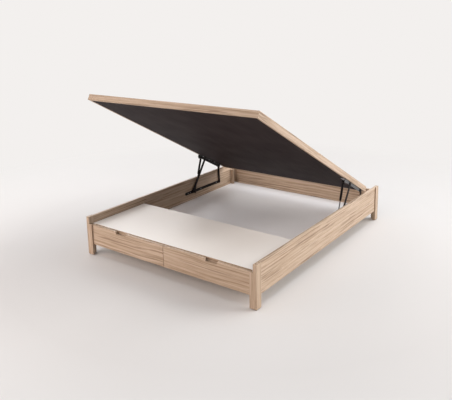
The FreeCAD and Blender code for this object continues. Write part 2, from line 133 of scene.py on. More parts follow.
class BedColours(PropertyGroup):
    oak_pale: colour("Pale oak", "Lightest streaks of the oak boards", 200, 176, 154)
    oak_middle: colour("Oak", "Main tone of the oak boards", 181, 156, 132)
    oak_brown: colour("Brown oak", "Brown streaks of the oak boards", 155, 128, 103)
    oak_pore: colour("Oak pores", "Dark lines in the oak", 117, 91, 69)
    white: colour("White board", "Melamine boards of the drawer bay and the drawers", 246, 238, 230)
    # Painted cool light: the storage floor's colour is a lighter, cooler copy of the white melamine, standing in
    # for the cool light that falls in the storage under the lid
    floor_white_painted_cool_light: colour("Storage floor", "Cooler melamine of the storage floor", 250, 246, 245)
    underside: colour("Lid underside", "Near-black board under the lid", 36, 25, 26)
    steel: colour("Black steel", "Powder-coated lift linkage", 18, 12, 10)
    rod: colour("Gas spring rod", "Dark hardened rod of the gas springs", 40, 36, 36)
    zinc: colour("Zinc plating", "Runners, screws and pins", 178, 178, 176)
    softwood: colour("Softwood", "Battens and bearers", 214, 184, 140)
    chipboard: colour("Chipboard", "Raw board inside the lid", 190, 162, 126)
    bracket: colour("Bracket steel", "Gloss brackets under the lid", 20, 17, 17)
    plastic: colour("Glide plastic", "Glides and feet", 38, 38, 38)
    cover: colour("Cover fabric", "Breathable fabric on the lid", 188, 179, 169)
    tape: colour("Cover tape", "Woven tape round the cover", 150, 142, 132)


class BedSizes(PropertyGroup):
    cover_crown: length("Cover crown", "Rise of the fabric in the middle of the lid", 1.6)
    cover_sink: length("Cover sink", "Drop of the fabric at the lid's rim", 1.2)
    tape_width: length("Tape width", "Width of the tape round the cover", 28.0)
    tape_height: length("Tape height", "Thickness of the tape round the cover", 0.8)
    stitch_length: length("Stitch length", "Length of one stitch in the tape", 6.0)
    stitch_pitch: length("Stitch pitch", "Distance from one stitch to the next", 11.0)
    recess_width: length("Recess width", "Width of the cross recess in a screw", 1.1)
    recess_reach: length("Recess reach", "Reach of the cross recess from a screw's middle", 2.4)
    recess_depth: length("Recess depth", "Depth of the cross recess in a screw", 1.3)
    pin_radius: length("Pin radius", "Radius of the linkage's pivot pins", 5.0)
    eye_radius: length("Eye radius", "Outer radius of a gas spring's eyes", 9.0)
    round_steps: IntProperty(name="Round steps", description="Facets of a turned piece", default=40, min=12)


class BedStage(PropertyGroup):
    camera_place: FloatVectorProperty(
        name="Camera place", description="Where the camera stands", default=(2.558, -3.672, 1.803),
        subtype="TRANSLATION", unit="LENGTH",
    )
    camera_heading: FloatProperty(
        name="Camera heading", description="Turn of the view from the bed's length",
        default=math.radians(-36.47), subtype="ANGLE",
    )
    camera_pitch: FloatProperty(
        name="Camera pitch", description="Downward tilt of the view",
        default=math.radians(12.52), subtype="ANGLE",
    )
    camera_roll: FloatProperty(
        name="Camera roll", description="Lean of the view", default=math.radians(-1.08), subtype="ANGLE",
    )
    camera_lens: FloatProperty(
        name="Lens", description="Focal length in millimetres on a 36 mm sensor", default=45.07,
    )
    camera_shift: FloatProperty(
        name="Shift", description="Vertical shift that keeps the legs upright", default=-0.13,
    )
    backdrop: colour("Backdrop", "Surroundings and far floor as the camera sees them", 243, 240, 238)
    floor: colour("Floor", "Pale floor round the bed", 213, 208, 204)
    warm: colour("Warm tint", "Tint of the lights from the front", 255, 244, 239)
    cool: colour("Cool tint", "Tint of the lights from above", 236, 246, 255)
    light_level: FloatProperty(
        name="Light level", description="Strength of all the lights", default=1.0, subtype="FACTOR", min=0.0,
    )


# Finishes


def node(tree, kind, inputs=None, **settings):
    """Shader node with its settings, and its inputs given as values or sockets."""
    made = tree.nodes.new("ShaderNode" + kind)
    for key, value in settings.items():
        setattr(made, key, value)
    for key, value in (inputs or {}).items():
        if isinstance(value, NodeSocket):
            tree.links.new(value, made.inputs[key])
        else:
            made.inputs[key].default_value = value
    return made


def opaque(rgb):
    """Colour with full alpha, as a colour socket takes it."""
    return (*rgb, 1.0)


def new_finish(name, **constants):
    """Material with one Principled shader, whose constant inputs are given by name."""
    material = bpy.data.materials.new(name)
    material.use_nodes = True
    tree = material.node_tree
    tree.nodes.clear()
    shader = node(tree, "BsdfPrincipled", {key.replace("_", " "): value for key, value in constants.items()})
    node(tree, "OutputMaterial", {"Surface": shader.outputs["BSDF"]})
    return material, tree, shader


def placed(tree, turn=(0.0, 0.0, 0.0), shift=(0.0, 0.0, 0.0)):
    """Object coordinates turned and moved for one piece."""
    coordinates = node(tree, "TexCoord")
    mapping = node(tree, "Mapping", {
        "Vector": coordinates.outputs["Object"], "Rotation": turn, "Location": shift,
    })
    return mapping.outputs["Vector"]


def stretched(tree, vector, scale):
    """Coordinates with their own scale on each axis."""
    return node(tree, "VectorMath", {0: vector, 1: scale}, operation="MULTIPLY").outputs["Vector"]


def noise(tree, vector, detail=3.0, roughness=0.5, scale=1.0):
    """Noise from 0 to 1."""
    made = node(tree, "TexNoise", {
        "Vector": vector, "Scale": scale, "Detail": detail, "Roughness": roughness,
    })
    return made.outputs["Fac"]


def blended(tree, factor, first, second):
    """Two colours mixed by a factor; the node's colour sockets go by number."""
    return node(tree, "Mix", {0: factor, 6: first, 7: second}, data_type="RGBA").outputs[2]


def remapped(tree, value, low, high, new_low=0.0, new_high=1.0):
    """Value brought from one range to another and held inside it."""
    made = node(tree, "MapRange", {
        "Value": value, "From Min": low, "From Max": high, "To Min": new_low, "To Max": new_high,
    })
    return made.outputs["Result"]


def weighted(tree, parts):
    """Sum of values, each times its weight."""
    total = None
    for value, weight in parts:
        share = node(tree, "Math", {0: value, 1: weight}, operation="MULTIPLY").outputs["Value"]
        if total is None:
            total = share
        else:
            total = node(tree, "Math", {0: total, 1: share}, operation="ADD").outputs["Value"]
    return total


def ramped(tree, value, stops):
    """Colour from a row of (position, colour) stops."""
    made = node(tree, "ValToRGB", {"Fac": value})
    elements = made.color_ramp.elements
    while len(elements) < len(stops):
        elements.new(1.0)
    for element, (position, rgb) in zip(elements, stops):
        element.position = position
        element.color = opaque(rgb)
    return made.outputs["Color"]


def bumped(tree, shader, height, strength, distance):
    """Bump from a height, on a shader's normal."""
    made = node(tree, "Bump", {"Height": height, "Strength": strength, "Distance": distance})
    tree.links.new(made.outputs["Normal"], shader.inputs["Normal"])


def grain_turn(along, place=Matrix.Identity(4)):
    """Turn that lays a board's grain axis on X and its two cross axes between Y and Z."""
    axes = place.to_3x3().col
    grain = axes["XYZ".index(along)]
    first, second = [axis for index, axis in enumerate(axes) if index != "XYZ".index(along)]
    rows = (grain, (first + second).normalized(), grain.cross(first + second).normalized())
    return Matrix(rows).to_euler()


def oak_finish(name, along, shift, place=Matrix.Identity(4)):
    """Oak foil with long streaks, a soft figure and short pores along the grain."""
    tones = bpy.context.scene.bed_colours
    material, tree, shader = new_finish(name, Specular_IOR_Level=0.35)
    point = placed(tree, grain_turn(along, place), shift)
    sway = noise(tree, stretched(tree, point, (2.2, 7.0, 7.0)), detail=2.0)
    offset = node(tree, "Math", {0: sway, 1: 0.022}, operation="MULTIPLY").outputs["Value"]
    swayed = node(tree, "VectorMath", {
        0: point, 1: node(tree, "CombineXYZ", {"Y": offset, "Z": offset}).outputs["Vector"],
    }).outputs["Vector"]
    bands = noise(tree, stretched(tree, swayed, (1.0, 32.0, 32.0)), detail=3.0)
    streaks = noise(tree, stretched(tree, swayed, (1.8, 92.0, 92.0)), detail=5.0, roughness=0.64)
    fibres = noise(tree, stretched(tree, swayed, (14.0, 620.0, 620.0)), detail=2.0)
    figure = node(tree, "TexWave", {
        "Vector": stretched(tree, swayed, (0.5, 16.0, 4.0)), "Scale": 1.0, "Distortion": 5.0,
        "Detail": 2.0, "Detail Scale": 0.8,
    }, bands_direction="Y", wave_profile="SIN").outputs["Fac"]
    tone = weighted(tree, ((bands, 0.2), (streaks, 0.58), (figure, 0.06), (fibres, 0.16)))
    wood = ramped(tree, tone, (
        (0.37, tones.oak_brown), (0.47, tones.oak_middle), (0.59, tones.oak_pale),
    ))
    vein_noise = noise(tree, stretched(tree, swayed, (1.9, 84.0, 84.0)), detail=2.0)
    thread_noise = noise(tree, stretched(tree, swayed, (4.0, 210.0, 210.0)), detail=2.0)
    pore_noise = noise(tree, stretched(tree, swayed, (26.0, 900.0, 900.0)), detail=1.0)
    veins = remapped(tree, vein_noise, 0.58, 0.66)
    threads = remapped(tree, thread_noise, 0.58, 0.7)
    pores = remapped(tree, pore_noise, 0.68, 0.8)
    lines = weighted(tree, ((veins, 0.66), (threads, 0.36), (pores, 0.25)))
    tinted = blended(tree, lines, wood, opaque(tones.oak_pore))
    tree.links.new(tinted, shader.inputs["Base Color"])
    tree.links.new(remapped(tree, streaks, 0.3, 0.7, 0.6, 0.46), shader.inputs["Roughness"])
    relief = weighted(tree, ((streaks, 0.5), (fibres, 0.3), (lines, -0.9)))
    bumped(tree, shader, relief, 0.3, 0.0004)
    return material


def white_finish(name, rgb):
    """White melamine with a fine stipple and a faint cloudiness."""
    material, tree, shader = new_finish(name, Specular_IOR_Level=0.4)
    point = placed(tree)
    cloud = noise(tree, point, scale=3.5, detail=4.0)
    shade = [value * 0.955 for value in rgb]
    tree.links.new(blended(tree, cloud, opaque(shade), opaque(rgb)), shader.inputs["Base Color"])
    stipple = noise(tree, point, scale=900.0, detail=2.0)
    tree.links.new(remapped(tree, cloud, 0.3, 0.7, 0.36, 0.44), shader.inputs["Roughness"])
    bumped(tree, shader, stipple, 0.08, 0.0002)
    return material


def underside_finish(name):
    """Near-black board with a faint print brushed along the lid."""
    tones = bpy.context.scene.bed_colours
    material, tree, shader = new_finish(name, Specular_IOR_Level=0.1)
    point = placed(tree, grain_turn("Y", LID))
    brushed = noise(tree, stretched(tree, point, (4.0, 260.0, 260.0)), detail=3.0, roughness=0.6)
    cloud = noise(tree, point, scale=5.0, detail=4.0)
    tone = weighted(tree, ((brushed, 0.6), (cloud, 0.4)))
    dark = [value * 0.72 for value in tones.underside]
    light = [value * 1.3 for value in tones.underside]
    tree.links.new(ramped(tree, tone, ((0.35, dark), (0.65, light))), shader.inputs["Base Color"])
    tree.links.new(remapped(tree, tone, 0.3, 0.7, 0.72, 0.6), shader.inputs["Roughness"])
    bumped(tree, shader, brushed, 0.2, 0.0003)
    return material


def coated_steel_finish(name, rgb, rough=0.42, specular=0.07):
    """Powder coat with a fine orange peel and rubbed patches."""
    material, tree, shader = new_finish(name, Specular_IOR_Level=specular)
    point = placed(tree)
    peel = noise(tree, point, scale=1400.0, detail=2.0)
    rub = noise(tree, point, scale=60.0, detail=5.0, roughness=0.6)
    light = [min(1.0, value * 1.6 + 0.002) for value in rgb]
    tree.links.new(ramped(tree, rub, ((0.45, rgb), (0.75, light))), shader.inputs["Base Color"])
    tree.links.new(remapped(tree, rub, 0.3, 0.7, rough + 0.08, rough - 0.06), shader.inputs["Roughness"])
    bumped(tree, shader, peel, 0.25, 0.0002)
    return material


def bare_metal_finish(name, rgb, rough):
    """Plated or polished steel with fine drawing marks and dulled patches."""
    material, tree, shader = new_finish(name, Metallic=1.0)
    point = placed(tree)
    marks = noise(tree, point, scale=500.0, detail=3.0)
    dull = noise(tree, point, scale=40.0, detail=4.0)
    dark = [value * 0.74 for value in rgb]
    tone = weighted(tree, ((marks, 0.4), (dull, 0.6)))
    tree.links.new(ramped(tree, tone, ((0.35, dark), (0.62, rgb))), shader.inputs["Base Color"])
    tree.links.new(remapped(tree, tone, 0.3, 0.7, rough + 0.1, rough - 0.06), shader.inputs["Roughness"])
    bumped(tree, shader, marks, 0.1, 0.0001)
    return material


def softwood_finish(name, along):
    """Planed softwood with growth lines and fine fibres."""
    tones = bpy.context.scene.bed_colours
    material, tree, shader = new_finish(name, Specular_IOR_Level=0.25)
    point = placed(tree, grain_turn(along))
    lines = node(tree, "TexWave", {
        "Vector": stretched(tree, point, (1.2, 60.0, 20.0)), "Scale": 1.0, "Distortion": 4.0, "Detail": 2.0,
    }, bands_direction="Y", wave_profile="SAW").outputs["Fac"]
    fibres = noise(tree, stretched(tree, point, (8.0, 500.0, 500.0)), detail=3.0)
    tone = weighted(tree, ((lines, 0.6), (fibres, 0.4)))
    dark = [value * 0.7 for value in tones.softwood]
    tree.links.new(ramped(tree, tone, ((0.3, tones.softwood), (0.8, dark))), shader.inputs["Base Color"])
    tree.links.new(remapped(tree, fibres, 0.3, 0.7, 0.7, 0.6), shader.inputs["Roughness"])
    bumped(tree, shader, tone, 0.25, 0.0005)
    return material


def chipboard_finish(name):
    """Raw chipboard with light and dark flakes."""
    tones = bpy.context.scene.bed_colours
    material, tree, shader = new_finish(name, Roughness=0.85, Specular_IOR_Level=0.2)
    point = placed(tree)
    flakes = node(tree, "TexVoronoi", {"Vector": point, "Scale": 260.0, "Randomness": 1.0})
    flake = node(tree, "SeparateColor", {"Color": flakes.outputs["Color"]}).outputs["Red"]
    dark = [value * 0.55 for value in tones.chipboard]
    light = [min(1.0, value * 1.2) for value in tones.chipboard]
    flaked = ramped(tree, flake, ((0.1, dark), (0.4, tones.chipboard), (0.95, light)))
    tree.links.new(flaked, shader.inputs["Base Color"])
    bumped(tree, shader, flakes.outputs["Distance"], 0.3, 0.0006)
    return material


def plastic_finish(name):
    """Moulded plastic with a matt grain."""
    tones = bpy.context.scene.bed_colours
    material, tree, shader = new_finish(name, Specular_IOR_Level=0.4)
    point = placed(tree)
    grain = noise(tree, point, scale=1200.0, detail=2.0)
    scuff = noise(tree, point, scale=90.0, detail=4.0)
    light = [value * 2.0 + 0.004 for value in tones.plastic]
    tree.links.new(ramped(tree, scuff, ((0.5, tones.plastic), (0.8, light))), shader.inputs["Base Color"])
    tree.links.new(remapped(tree, scuff, 0.3, 0.7, 0.5, 0.66), shader.inputs["Roughness"])
    bumped(tree, shader, grain, 0.2, 0.0002)
    return material


def cover_finish(name, rgb, cell):
    """Open knit: rows of small cells in the lid's own directions, with paler threads."""
    material, tree, shader = new_finish(name, Specular_IOR_Level=0.1, Sheen_Weight=0.1, Sheen_Roughness=0.5)
    point = placed(tree, LID.to_3x3().transposed().to_euler())
    size = 1.0 / cell
    knit = node(tree, "TexVoronoi", {
        "Vector": stretched(tree, point, (size, size * 0.7, size)), "Scale": 1.0, "Randomness": 0.18,
    }).outputs["Distance"]
    drift = noise(tree, stretched(tree, point, (9.0, 3.0, 9.0)), detail=4.0)
    dark = [value * 0.7 for value in rgb]
    light = [min(1.0, value * 1.12) for value in rgb]
    tone = weighted(tree, ((knit, 0.8), (drift, 0.35)))
    knitted = ramped(tree, tone, ((0.2, dark), (0.42, rgb), (0.8, light)))
    tree.links.new(knitted, shader.inputs["Base Color"])
    tree.links.new(remapped(tree, drift, 0.3, 0.7, 0.82, 0.94), shader.inputs["Roughness"])
    bumped(tree, shader, knit, 0.4, 0.001)
    return material


# Shapes


def finished_object(name, shape, material, sharp=35.0):
    """Object of a finished shape, smooth but for edges sharper than an angle in degrees."""
    mesh = bpy.data.meshes.new(name)
    shape.to_mesh(mesh)
    shape.free()
    mesh.materials.append(material)
    mesh.shade_smooth()
    mesh.set_sharp_from_angle(angle=math.radians(sharp))
    made = bpy.data.objects.new(name, mesh)
    bpy.context.scene.collection.objects.link(made)
    return made


def turned_shape(profile, steps):
    """Closed shape turned about X from (distance along X, radius) points."""
    shape = bmesh.new()
    points = [shape.verts.new((along, radius, 0.0)) for along, radius in profile]
    edges = [shape.edges.new(pair) for pair in zip(points, points[1:])]
    bmesh.ops.spin(
        shape, geom=points + edges, cent=(0.0, 0.0, 0.0), axis=ACROSS, angle=math.tau,
        steps=steps, use_merge=True, use_duplicate=False,
    )
    bmesh.ops.remove_doubles(shape, verts=shape.verts, dist=MERGE_DISTANCE)
    bmesh.ops.recalc_face_normals(shape, faces=shape.faces)
    return shape


def quarter_turn():
    """Angles of a rounded head or shoulder, from 0 to 90 degrees."""
    return [math.radians(90.0) * step / QUARTER_STEPS for step in range(QUARTER_STEPS + 1)]


def dome(height, radius):
    """Profile points of a domed head, from its crown to its edge."""
    return [(height * (1.0 - math.cos(turn)), radius * math.sin(turn)) for turn in quarter_turn()]


def headed_profile(reach, radius, head, neck):
    """Profile of a pin or screw with a domed head and a straight neck."""
    return dome(head, radius) + [(head, neck), (reach, neck), (reach, 0.0)]


def pointing(place, direction):
    """Placing that lays the X axis of a turned shape along a direction."""
    return Matrix.Translation(place) @ direction.to_track_quat("X", "Z").to_matrix().to_4x4()


def gather(shape, addition):
    """One shape added to another."""
    mesh = bpy.data.meshes.new("addition")
    addition.to_mesh(mesh)
    addition.free()
    shape.from_mesh(mesh)
    bpy.data.meshes.remove(mesh)


def domed_pin(box, side, head, neck, steps):
    """Pivot pin along X with a domed head on the bed's inner side, filling a solid's box."""
    low, high = box
    inner = low.x if side > 0 else high.x
    middle = (low + high) / 2
    shape = turned_shape(headed_profile(high.x - low.x, (high.z - low.z) / 2, head, neck), steps)
    shape.transform(pointing(Vector((inner, middle.y, middle.z)), ACROSS * side))
    return shape


def cross_screw(reach, radius, head, neck, sizes):
    """Screw along X with a domed head and a cross recess."""
    shape = turned_shape(headed_profile(reach, radius, head, neck), sizes.round_steps)
    half = sizes.recess_width / 2
    for axis in (Vector((0.0, 1.0, 0.0)), Vector((0.0, 0.0, 1.0))):
        for distance in (-sizes.recess_reach, -half, half, sizes.recess_reach):
            crown = [face for face in shape.faces if face.normal.x < CROWN_FACING]
            edges = {edge for face in crown for edge in face.edges}
            verts = {vert for face in crown for vert in face.verts}
            bmesh.ops.bisect_plane(
                shape, geom=[*crown, *edges, *verts], plane_co=axis * distance, plane_no=axis,
            )
    bmesh.ops.remove_doubles(shape, verts=shape.verts, dist=CUT_MERGE_DISTANCE)
    slot = []
    for face in shape.faces:
        middle = face.calc_center_median()
        near, far = sorted((abs(middle.y), abs(middle.z)))
        if face.normal.x < CROWN_FACING and near < half and far < sizes.recess_reach:
            slot.append(face)
    sunk = bmesh.ops.extrude_face_region(shape, geom=slot)["geom"]
    bmesh.ops.delete(shape, geom=slot, context="FACES_ONLY")
    moved = [item for item in sunk if isinstance(item, bmesh.types.BMVert)]
    bmesh.ops.translate(shape, verts=moved, vec=ACROSS * sizes.recess_depth)
    return shape


def finish_node(name, material):
    """Gives a CAD node its finish."""
    for slot in NODES[name].material_slots:
        slot.material = material


def nodes_with(slot):
    """Names of the CAD nodes that share one of the record's slots."""
    return [name for name, used in sorted(SLOTS.items()) if used == slot]


def finish_slots(finishes):
    """Gives the CAD nodes of each slot that slot's finish."""
    for slot, finish in finishes.items():
        for name in nodes_with(slot):
            finish_node(name, finish)


# Operators, one for each piece or group of like pieces


class BED_OT_oak_boards(Operator):
    """Lay oak grain along each board of the frame, the drawer fronts and the lid's rim"""

    bl_idname = "bed.oak_boards"
    bl_label = "Oak boards"

    GRAIN = {"side_panel": "Y", "rear_panel": "X", "rear_corner": "Z", "leg": "Z", "drawer": "X"}
    RIM_GRAIN = {"lid_rim_front": "X", "lid_rim_rear": "X", "lid_rim_left": "Y", "lid_rim_right": "Y"}
    GRAIN_STEP = Vector((0.83, 0.37, 0.19))

    def execute(self, context):
        for number, name in enumerate(nodes_with("oak")):
            shift = self.GRAIN_STEP * number
            if name in self.RIM_GRAIN:
                finish_node(name, oak_finish("oak_" + name, self.RIM_GRAIN[name], shift, LID))
            else:
                along = next(axis for start, axis in self.GRAIN.items() if name.startswith(start))
                finish_node(name, oak_finish("oak_" + name, along, shift))
        return {"FINISHED"}


class BED_OT_plain_boards(Operator):
    """Finish the white, near-black, raw and softwood boards"""

    bl_idname = "bed.plain_boards"
    bl_label = "Plain boards"

    def execute(self, context):
        tones = context.scene.bed_colours
        finish_slots({
            "white_board": white_finish("white_melamine", tones.white),
            "dark_board": underside_finish("underside_board"),
            "raw_board": chipboard_finish("raw_chipboard"),
            "softwood": softwood_finish("planed_softwood", "Y"),
        })
        # Painted light: the storage floor gets a lighter, cooler copy of the white melamine in place of the cool
        # light that falls there under the lid
        storage_floor_painted_light = white_finish("floor_melamine", tones.floor_white_painted_cool_light)
        for name in ("floor_panel_left", "floor_panel_right"):
            finish_node(name, storage_floor_painted_light)
        return {"FINISHED"}


class BED_OT_hardware(Operator):
    """Finish the sheet metal of the linkage, the runners and the feet"""

    bl_idname = "bed.hardware"
    bl_label = "Hardware"

    def execute(self, context):
        tones = context.scene.bed_colours
        finish_slots({
            "black_steel": coated_steel_finish("black_powder_coat", tones.steel),
            "rod_steel": bare_metal_finish("hardened_rod", tones.rod, rough=0.25),
            "zinc_steel": bare_metal_finish("zinc_plate", tones.zinc, rough=0.38),
            "black_plastic": plastic_finish("glide_plastic"),
        })
        gloss = coated_steel_finish("gloss_bracket", tones.bracket, rough=0.22, specular=0.9)
        for side in SIDES:
            finish_node("lid_bracket_" + side, gloss)
        return {"FINISHED"}


class BED_OT_pivot_pins(Operator):
    """Turn the domed pins and rivets of the linkage"""

    bl_idname = "bed.pivot_pins"
    bl_label = "Pivot pins"

    HEAD = 2.5 * MILLIMETRE
    GROUPS = {
        "rail_pins": ("lift_rail_pins", "base"),
        "bracket_pins": ("lid_bracket_pins", "lid"),
        "arm_rivets": ("front_arm_rivets", "front_arms"),
    }

    def execute(self, context):
        sizes = context.scene.bed_sizes
        finish = coated_steel_finish("blackened_pin", context.scene.bed_colours.steel, rough=0.34)
        for name, (source, body) in self.GROUPS.items():
            group = bmesh.new()
            for box in solids_of(source):
                side = math.copysign(1.0, box[0].x)
                facing = -side if source == "front_arm_rivets" else side
                gather(group, domed_pin(box, facing, self.HEAD, sizes.pin_radius, sizes.round_steps))
            made = finished_object(name, group, finish)
            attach(made, body)
            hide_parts(source)
        return {"FINISHED"}


class BED_OT_screws(Operator):
    """Make the cross-recess screws of the rails and the lid brackets"""

    bl_idname = "bed.screws"
    bl_label = "Screws"

    HEAD = 2.5 * MILLIMETRE
    NECK = 2.0 * MILLIMETRE

    def execute(self, context):
        sizes = context.scene.bed_sizes
        finish = bare_metal_finish("zinc_screw", context.scene.bed_colours.zinc, rough=0.34)
        rail = bmesh.new()
        for low, high in solids_of("lift_rail_screws"):
            side = math.copysign(1.0, low.x)
            middle = (low + high) / 2
            inner = low.x if side > 0 else high.x
            screw = cross_screw(high.x - low.x, (high.z - low.z) / 2, self.HEAD, self.NECK, sizes)
            screw.transform(pointing(Vector((inner, middle.y, middle.z)), ACROSS * side))
            gather(rail, screw)
        bracket = bmesh.new()
        for low, high in solids_of("lid_bracket_screws", LID):
            middle = (low + high) / 2
            screw = cross_screw(high.z - low.z, (high.x - low.x) / 2, self.HEAD, self.NECK, sizes)
            screw.transform(LID @ pointing(Vector((middle.x, middle.y, low.z)), Vector((0.0, 0.0, 1.0))))
            gather(bracket, screw)
        groups = (("lift_rail_screws", rail, "base"), ("lid_bracket_screws", bracket, "lid"))
        for name, shape, body in groups:
            made = finished_object("cross_" + name, shape, finish)
            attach(made, body)
            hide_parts(name)
        return {"FINISHED"}


class BED_OT_gas_springs(Operator):
    """Turn the gas springs: tube with its gland and shoulder, rod with its sleeve, and their eyes"""

    bl_idname = "bed.gas_springs"
    bl_label = "Gas springs"

    TUBE_RADIUS = 9.5 * MILLIMETRE
    GLAND_LENGTH = 9.0 * MILLIMETRE
    GLAND_RADIUS = 9.1 * MILLIMETRE
    GLAND_HOLE = 4.2 * MILLIMETRE
    GROOVE_RADIUS = 8.22 * MILLIMETRE
    GROOVE_STEP = 1.5 * MILLIMETRE
    STEM_RADIUS = 5.5 * MILLIMETRE
    STEM_LENGTH = 2.0 * MILLIMETRE
    BORE_WALL = 6.0 * MILLIMETRE
    SLEEVE_END = 26.0 * MILLIMETRE
    SLEEVE_RADIUS = 6.2 * MILLIMETRE
    ROD_RADIUS = 4.0 * MILLIMETRE
    EASE = 1.2 * MILLIMETRE
    STUB_HEAD = 0.8 * MILLIMETRE
    STEM_IN_EYE = 0.8
    HOLE_PLAY = 1.02

    def execute(self, context):
        sizes = context.scene.bed_sizes
        tones = context.scene.bed_colours
        tube_finish = coated_steel_finish("gas_tube_paint", tones.steel, rough=0.3)
        rod_finish = bare_metal_finish("dark_rod", tones.rod, rough=0.22)
        foot = Vector(JOINTS["gas_rod_swing"]["pos_m"])
        aim = Vector(JOINTS["gas_stroke"]["axis"]).normalized()
        for name, side in SIDES.items():
            tube_node, rod_node = "gas_cylinder_" + name, "gas_rod_" + name
            rod_low, rod_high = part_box(rod_node)
            tube_low, tube_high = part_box(tube_node)
            foot.x = (rod_low.x + rod_high.x) / 2
            full = (tube_high.z - sizes.eye_radius - foot.z) / aim.z
            top = foot + aim * full
            start = min(self.reaches(tube_node, foot, aim))
            tube = turned_shape(self.tube_profile(full - start, sizes), sizes.round_steps)
            tube.transform(pointing(foot + aim * start, aim))
            gather(tube, self.eye(top, rod_low.x, rod_high.x, sizes))
            stub = turned_shape(self.stub_profile(tube_high.x - tube_low.x, sizes), sizes.round_steps)
            inner = rod_low.x if side > 0 else rod_high.x
            stub.transform(pointing(Vector((inner, top.y, top.z)), ACROSS * side))
            gather(tube, stub)
            made = finished_object("gas_tube_" + name, tube, tube_finish)
            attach(made, "gas_cylinders")
            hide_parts(tube_node)
            rod_reach = max(self.reaches(rod_node, foot, aim))
            rod = turned_shape(self.rod_profile(rod_reach, sizes), sizes.round_steps)
            rod.transform(pointing(foot, aim))
            gather(rod, self.eye(foot, rod_low.x, rod_high.x, sizes))
            made = finished_object("gas_piston_rod_" + name, rod, rod_finish)
            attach(made, "gas_rods")
            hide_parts(rod_node)
        return {"FINISHED"}

    def reaches(self, node_name, foot, aim):
        """Distances of a CAD node's points from the foot, along the spring."""
        return [(vertex.co - foot).dot(aim) for vertex in NODES[node_name].data.vertices]

    def eye(self, place, low_x, high_x, sizes):
        """Ring about X at a pivot, with eased edges."""
        width = high_x - low_x
        hole, rim = sizes.pin_radius * self.HOLE_PLAY, sizes.eye_radius
        ease = self.EASE
        profile = [
            (0.0, hole), (0.0, rim - ease), (ease, rim), (width - ease, rim), (width, rim - ease),
            (width, hole), (0.0, hole),
        ]
        shape = turned_shape(profile, sizes.round_steps)
        shape.transform(Matrix.Translation(Vector((low_x, place.y, place.z))))
        return shape

    def tube_profile(self, reach, sizes):
        """Bored tube from its gland, past a rolled groove, to a round shoulder and the stem of its eye."""
        radius, stem, hole = self.TUBE_RADIUS, self.STEM_RADIUS, self.GLAND_HOLE
        gland, step = self.GLAND_LENGTH, self.GROOVE_STEP
        bend = radius - stem
        shoulder = reach - sizes.eye_radius - self.STEM_LENGTH - bend
        bore = shoulder - self.BORE_WALL
        rounding = [
            (shoulder + bend * math.sin(turn), stem + bend * math.cos(turn)) for turn in quarter_turn()
        ]
        end = reach - sizes.eye_radius * self.STEM_IN_EYE
        return [
            (bore, 0.0), (bore, hole), (0.0, hole), (0.0, radius - step),
            (step, self.GLAND_RADIUS), (gland, self.GLAND_RADIUS), (gland + step, self.GROOVE_RADIUS),
            (gland + 2 * step, self.GROOVE_RADIUS), (gland + 3 * step, radius),
            *rounding, (end, stem), (end, 0.0),
        ]

    def stub_profile(self, reach, sizes):
        """Pin of the upper eye, with a small domed end on the bed's inner side."""
        return dome(self.STUB_HEAD, sizes.pin_radius) + [(reach, sizes.pin_radius), (reach, 0.0)]

    def rod_profile(self, reach, sizes):
        """Rod with a stepped sleeve above its eye."""
        start = sizes.eye_radius * self.STEM_IN_EYE
        sleeve, radius, ease = self.SLEEVE_END, self.SLEEVE_RADIUS, self.EASE
        return [
            (start, 0.0), (start, radius), (sleeve - ease, radius), (sleeve, radius - ease),
            (sleeve, self.ROD_RADIUS), (reach, self.ROD_RADIUS), (reach, 0.0),
        ]


